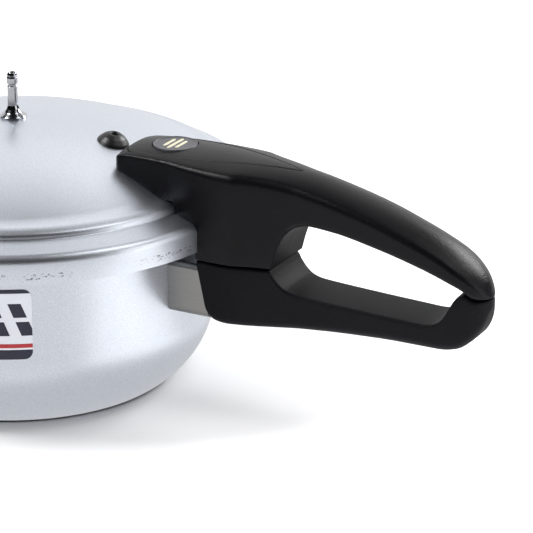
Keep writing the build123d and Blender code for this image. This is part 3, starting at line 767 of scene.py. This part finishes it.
# gasket
def buildGasket():
    low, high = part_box("gasket")
    b = low[2] / mm
    profile = [(112.8, b + 1.0, 0.4), (112.8, b + 7.2, 0.5), (114.4, b + 6.8, 0.5), (124.6, b + 3.6, 0.6),
               (124.6, b, 0.6), (121.6, b, 0.5), (120.0, b + 2.0, 0.8), (116.4, b, 0.5), (113.6, b, 0.3)]
    closed = [profile[-1]] + profile + [profile[0]]
    path = [(p.x * mm, p.y * mm) for p in roundPath(closed, 4)[1:-1]]
    path.append(path[0])
    return latheMesh("gasket", path, 240)


newPiece("gasket", buildGasket(), "gasket", gasketRubber, ("gasket",), 40)

# label
labelShape = dict(right=-53.6, spread=72.8, low=45.5, high=84.5, corner=4.5, proud=0.24)


def labelFoil():
    f = Finish("labelFoil", (0.70, 0.72, 0.76), 0.10, 0.30)
    x, y, z = f.axes()
    height = (z - labelShape["low"] * mm) / ((labelShape["high"] - labelShape["low"]) * mm)
    navy, silver = (0.006, 0.008, 0.028), (0.56, 0.575, 0.62)
    red, pale = (0.34, 0.010, 0.016), (0.62, 0.63, 0.66)
    leaning = f.add("ShaderNodeMapping", Vector=f.place, Rotation=(0.0, 0.32, 0.0))
    slant = f.add("ShaderNodeTexWave", {"wave_type": "BANDS", "bands_direction": "X"}, out="Fac",
                  Vector=leaning, Scale=30.0)
    bars = (slant > 0.45) * ((height > 0.34) * (height < 0.54) + (height > 0.60) * (height < 0.80))
    colour = f.mixed(bars, silver, navy)
    colour = f.mixed(height < 0.225, colour, red)
    colour = f.mixed(height < 0.165, colour, pale)
    colour = f.mixed(height < 0.14, colour, navy)
    colour = f.mixed(height > 0.945, colour, navy)
    f.feed("Base Color", colour)
    f.bump(f.noise(900.0), 0.08, 0.00003)
    return f.material


def buildLabel():
    around, up = 96, 30
    low, high = labelShape["low"], labelShape["high"]
    levels = [low + (high - low) * (1 - cos(pi * j / up)) / 2 for j in range(up + 1)]
    wall = pan["radius"]
    verts, faces = [], []
    arc = radians(labelShape["spread"]) * wall
    for layer in (labelShape["proud"], -0.1):
        for j in range(up + 1):
            z = levels[j]
            edge = min(z - low, high - z)
            pull = labelShape["corner"]
            tuck = pull - sqrt(max(0.0, pull ** 2 - max(0.0, pull - edge) ** 2)) if edge < pull else 0.0
            for i in range(around + 1):
                along = tuck + (arc - 2 * tuck) * i / around
                turn = radians(labelShape["right"]) - along / wall
                r = wall + layer
                verts.append(Vector((r * cos(turn) * mm, r * sin(turn) * mm, z * mm)))
    across = around + 1
    sheetCount = across * (up + 1)
    for j in range(up):
        for i in range(around):
            a = j * across + i
            faces.append([a, a + 1, a + across + 1, a + across])
            b = a + sheetCount
            faces.append([b, b + across, b + across + 1, b + 1])
    border = [i for i in range(across)] + [j * across + around for j in range(1, up + 1)]
    border += [up * across + i for i in range(around - 1, -1, -1)] + [j * across for j in range(up - 1, 0, -1)]
    for a, b in zip(border, border[1:] + border[:1]):
        faces.append([a, a + sheetCount, b + sheetCount, b])
    return meshFrom("panLabel", verts, faces)


newPiece("panLabel", buildLabel(), "pan", labelFoil(), ("pan_label",), 40)
print("small parts built")

stage = dict(
    floor=2.0, floorColour=(0.88, 0.88, 0.885), seenWorld=1.0, fill=0.004,
    glow=(0.8, 1.4, 0.95),         # floor starts to brighten, is brightest, and how bright
    wash=(1.1, 1.5, 1.95), washPlace=(0.08, -0.22),  # height, width and radiance of the floor's own light
    aim=(0.06, 0, 0.1),
    panels=[  # name, turn from the camera's side, distance, height, width, tall, radiance
        ("backPanel", 180, 1.9, 0.90, 4.2, 2.0, 1.06),
        ("topPanel", 180, 0.95, 1.62, 1.4, 0.9, 1.0),
        ("topRightPanel", 140, 1.0, 1.45, 1.0, 0.6, 0.4),
        ("highPanel", 74, 0.9, 1.45, 0.8, 0.8, 2.8),
        ("keyLight", -82, 1.05, 1.45, 0.5, 0.5, 31.0),
        ("rimPanel", 122, 1.42, 0.84, 0.8, 0.55, 13.0),
        ("rightPanel", 66, 1.25, 0.32, 0.55, 0.95, 2.4),
        ("frontSheet", 0, 0.735, 0.001, 2.67, 1.2, 1.06),
        ("rearSheet", 180, 0.735, 0.001, 2.67, 1.2, 1.06),
        ("leftSheet", -90, 0.735, 0.001, 0.27, 1.2, 1.06),
        ("rightSheet", 90, 0.735, 0.001, 0.27, 1.2, 1.06),
        ("underSheet", 0, 0.0, 0.001, 0.27, 0.27, 0.78),
        ("bandSheet", 56, 0.55, 0.0015, 0.15, 0.8, 0.6),
    ],
)


def buildStage():
    half = stage["floor"]
    mesh = bpy.data.meshes.new("floor")
    corners = [(-half, -half, 0), (half, -half, 0), (half, half, 0), (-half, half, 0)]
    mesh.from_pydata(corners, [], [[0, 1, 2, 3]])
    floor = bpy.data.objects.new("floor", mesh)
    bpy.context.scene.collection.objects.link(floor)
    f = Finish("paperFloor", stage["floorColour"], 0.0, 0.8)
    f.shader.inputs["Specular IOR Level"].default_value = 0.2
    x, y, z = f.axes()
    near, far, glow = stage["glow"]  # the sheet's far part brightens into the white behind it
    f.shader.inputs["Emission Strength"].default_value = glow
    spread = f.ramp((x * x + y * y) * 0.25, (near ** 2 / 4, 0.0), (far ** 2 / 4, 1.0))
    f.feed("Emission Color", f.mixed(spread, (0.0, 0.0, 0.0), (1.0, 1.0, 1.0)))
    f.feed("Roughness", 0.75 + f.noise(40.0) * 0.1)
    mesh.materials.append(f.material)
    floor.visible_glossy = False  # the sheet lights stand in for it in the metal
    height, across, radiance = stage["wash"]
    wash = bpy.data.objects.new("floorWash", bpy.data.lights.new("floorWash", "AREA"))
    wash.data.shape = "SQUARE"
    wash.data.size = across
    wash.data.energy = radiance * pi * across ** 2
    wash.location = (*stage["washPlace"], height)
    wash.visible_camera = False
    lit = bpy.data.collections.new("floorOnly")
    lit.objects.link(floor)
    wash.light_linking.receiver_collection = lit
    bpy.context.scene.collection.objects.link(wash)
    world = bpy.data.worlds.new("softStudio")
    world.use_nodes = True
    bpy.context.scene.world = world
    back = next(n for n in world.node_tree.nodes if n.type == "BACKGROUND")
    back.inputs["Color"].default_value = (1, 1, 1, 1)
    seen = Wire(world.node_tree, world.node_tree.nodes.new("ShaderNodeLightPath").outputs["Is Camera Ray"])
    plug(world.node_tree, back.inputs["Strength"], seen * (stage["seenWorld"] - stage["fill"]) + stage["fill"])


def softBox(name, turn, distance, height, width, tall, radiance):
    direction = radians(shot["azimuth"] - 90 + turn)
    place = Vector((distance * cos(direction), distance * sin(direction), height))
    light = bpy.data.lights.new(name, "AREA")
    light.shape = "RECTANGLE"
    light.size, light.size_y = width, tall
    light.energy = radiance * pi * width * tall
    lamp = bpy.data.objects.new(name, light)
    bpy.context.scene.collection.objects.link(lamp)
    lamp.location = place
    aimed = (Vector(stage["aim"]) - place).to_track_quat("-Z", "Y").to_euler()
    lamp.rotation_euler = aimed if height > 0.01 else (pi, 0, direction + pi / 2)
    lamp.visible_camera = False


shot = dict(azimuth=28.0, elevation=20.8, distance=1.6506, lens=202.6, right=0.13783, up=0.03598)


def placeCamera():
    azimuth, elevation = radians(shot["azimuth"]), radians(shot["elevation"])
    rightWay = Vector((cos(azimuth), sin(azimuth), 0))
    backWay = Vector((sin(azimuth) * cos(elevation), -cos(azimuth) * cos(elevation), sin(elevation)))
    upWay = backWay.cross(rightWay)
    camera = bpy.data.objects.new("camera", bpy.data.cameras.new("camera"))
    bpy.context.scene.collection.objects.link(camera)
    camera.data.lens = shot["lens"]
    camera.data.sensor_width = 36.0
    camera.data.clip_end = 50.0
    aim = Vector((0, 0, skirtBottom)) + rightWay * shot["right"] - upWay * shot["up"]
    camera.location = aim + backWay * shot["distance"]
    camera.rotation_euler = (pi / 2 - elevation, 0, azimuth)
    bpy.context.scene.camera = camera


buildStage()
for panel in stage["panels"]:
    softBox(*panel)
placeCamera()
bpy.context.scene.view_settings.view_transform = "Standard"
print("stage ready")
